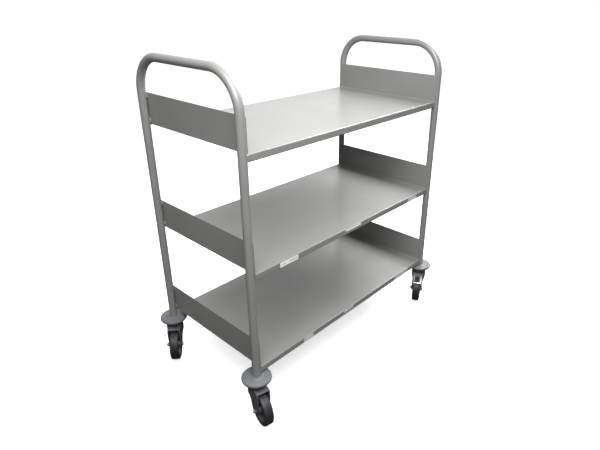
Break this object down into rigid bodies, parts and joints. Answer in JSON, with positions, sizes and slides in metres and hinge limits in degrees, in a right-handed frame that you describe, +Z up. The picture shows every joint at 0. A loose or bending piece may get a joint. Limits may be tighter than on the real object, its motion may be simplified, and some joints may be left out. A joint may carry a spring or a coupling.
{
  "type": "book cart",
  "caption": "Book cart with bent-tube end frames, folded flat steel shelves and swivel casters under round bumpers.",
  "frame": {"origin": "on the floor, midway between the four legs", "axes": "+Z up, X along the cart's length, -Y towards the side with the labels"},
  "size_m": [1.0644, 0.628, 1.0987],
  "materials": {
    "painted_steel": "semi-gloss warm grey powder coat",
    "caster_steel": "dark grey painted pressed steel",
    "zinc": "bright zinc plate",
    "bumper_rubber": "matt grey rubber",
    "tyre_rubber": "satin dark rubber",
    "hub_plastic": "moulded dark plastic",
    "label_paper": "white label stock"
  },
  "bodies": {
    "cart": {"end_frame_left": "painted_steel", "end_frame_right": "painted_steel", "shelf_top": "painted_steel", "shelf_middle": "painted_steel", "shelf_bottom": "painted_steel", "weld_beads": "painted_steel", "label_strips": "label_paper", "stem_sockets": "zinc", "kingpin_nuts": "zinc", "bumper_front_left": "bumper_rubber", "bumper_front_right": "bumper_rubber", "bumper_rear_left": "bumper_rubber", "bumper_rear_right": "bumper_rubber", "stem_front_left": "zinc", "stem_front_right": "zinc", "stem_rear_left": "zinc", "stem_rear_right": "zinc", "race_cap_front_left": "caster_steel", "race_cap_front_right": "caster_steel", "race_cap_rear_left": "caster_steel", "race_cap_rear_right": "caster_steel"},
    "caster_front_left": {"ball_ring_front_left": "zinc", "fork_front_left": "caster_steel", "axle_sleeve_front_left": "zinc", "axle_bolt_front_left": "zinc", "axle_nut_front_left": "zinc"},
    "wheel_front_left": {"wheel_bush_front_left": "hub_plastic", "hub_front_left": "hub_plastic", "tyre_front_left": "tyre_rubber"},
    "caster_front_right": {"ball_ring_front_right": "zinc", "fork_front_right": "caster_steel", "axle_sleeve_front_right": "zinc", "axle_bolt_front_right": "zinc", "axle_nut_front_right": "zinc", "brake_pin_front_right": "caster_steel"},
    "wheel_front_right": {"wheel_bush_front_right": "hub_plastic", "hub_front_right": "hub_plastic", "tyre_front_right": "tyre_rubber"},
    "brake_front_right": {"brake_pedal_front_right": "zinc"},
    "caster_rear_left": {"ball_ring_rear_left": "zinc", "fork_rear_left": "caster_steel", "axle_sleeve_rear_left": "zinc", "axle_bolt_rear_left": "zinc", "axle_nut_rear_left": "zinc"},
    "wheel_rear_left": {"wheel_bush_rear_left": "hub_plastic", "hub_rear_left": "hub_plastic", "tyre_rear_left": "tyre_rubber"},
    "caster_rear_right": {"ball_ring_rear_right": "zinc", "fork_rear_right": "caster_steel", "axle_sleeve_rear_right": "zinc", "axle_bolt_rear_right": "zinc", "axle_nut_rear_right": "zinc", "brake_pin_rear_right": "caster_steel"},
    "wheel_rear_right": {"wheel_bush_rear_right": "hub_plastic", "hub_rear_right": "hub_plastic", "tyre_rear_right": "tyre_rubber"},
    "brake_rear_right": {"brake_pedal_rear_right": "zinc"}
  },
  "joints": [
    {"name": "swivel_front_left", "type": "hinge", "parent": "cart", "child": "caster_front_left", "pos_m": [-0.4722, -0.2325, 0.129], "axis": [0, 0, 1], "continuous": true},
    {"name": "roll_front_left", "type": "hinge", "parent": "caster_front_left", "child": "wheel_front_left", "pos_m": [-0.47996, -0.26148, 0.055], "axis": [0.9659, -0.2588, 0], "continuous": true},
    {"name": "swivel_front_right", "type": "hinge", "parent": "cart", "child": "caster_front_right", "pos_m": [0.4722, -0.2325, 0.129], "axis": [0, 0, 1], "continuous": true},
    {"name": "roll_front_right", "type": "hinge", "parent": "caster_front_right", "child": "wheel_front_right", "pos_m": [0.44524, -0.24565, 0.055], "axis": [0.4384, -0.8988, 0], "continuous": true},
    {"name": "brake_front_right", "type": "hinge", "parent": "caster_front_right", "child": "brake_front_right", "pos_m": [0.43715, -0.2496, 0.117], "axis": [0.4384, -0.8988, 0], "range_deg": [0, 6]},
    {"name": "swivel_rear_left", "type": "hinge", "parent": "cart", "child": "caster_rear_left", "pos_m": [-0.4722, 0.2325, 0.129], "axis": [0, 0, 1], "continuous": true},
    {"name": "roll_rear_left", "type": "hinge", "parent": "caster_rear_left", "child": "wheel_rear_left", "pos_m": [-0.49148, 0.20952, 0.055], "axis": [0.766, -0.6428, 0], "continuous": true},
    {"name": "swivel_rear_right", "type": "hinge", "parent": "cart", "child": "caster_rear_right", "pos_m": [0.4722, 0.2325, 0.129], "axis": [0, 0, 1], "continuous": true},
    {"name": "roll_rear_right", "type": "hinge", "parent": "caster_rear_right", "child": "wheel_rear_right", "pos_m": [0.4881, 0.25794, 0.055], "axis": [-0.848, 0.5299, 0], "continuous": true},
    {"name": "brake_rear_right", "type": "hinge", "parent": "caster_rear_right", "child": "brake_rear_right", "pos_m": [0.49287, 0.26557, 0.117], "axis": [-0.848, 0.5299, 0], "range_deg": [0, 6]}
  ]
}
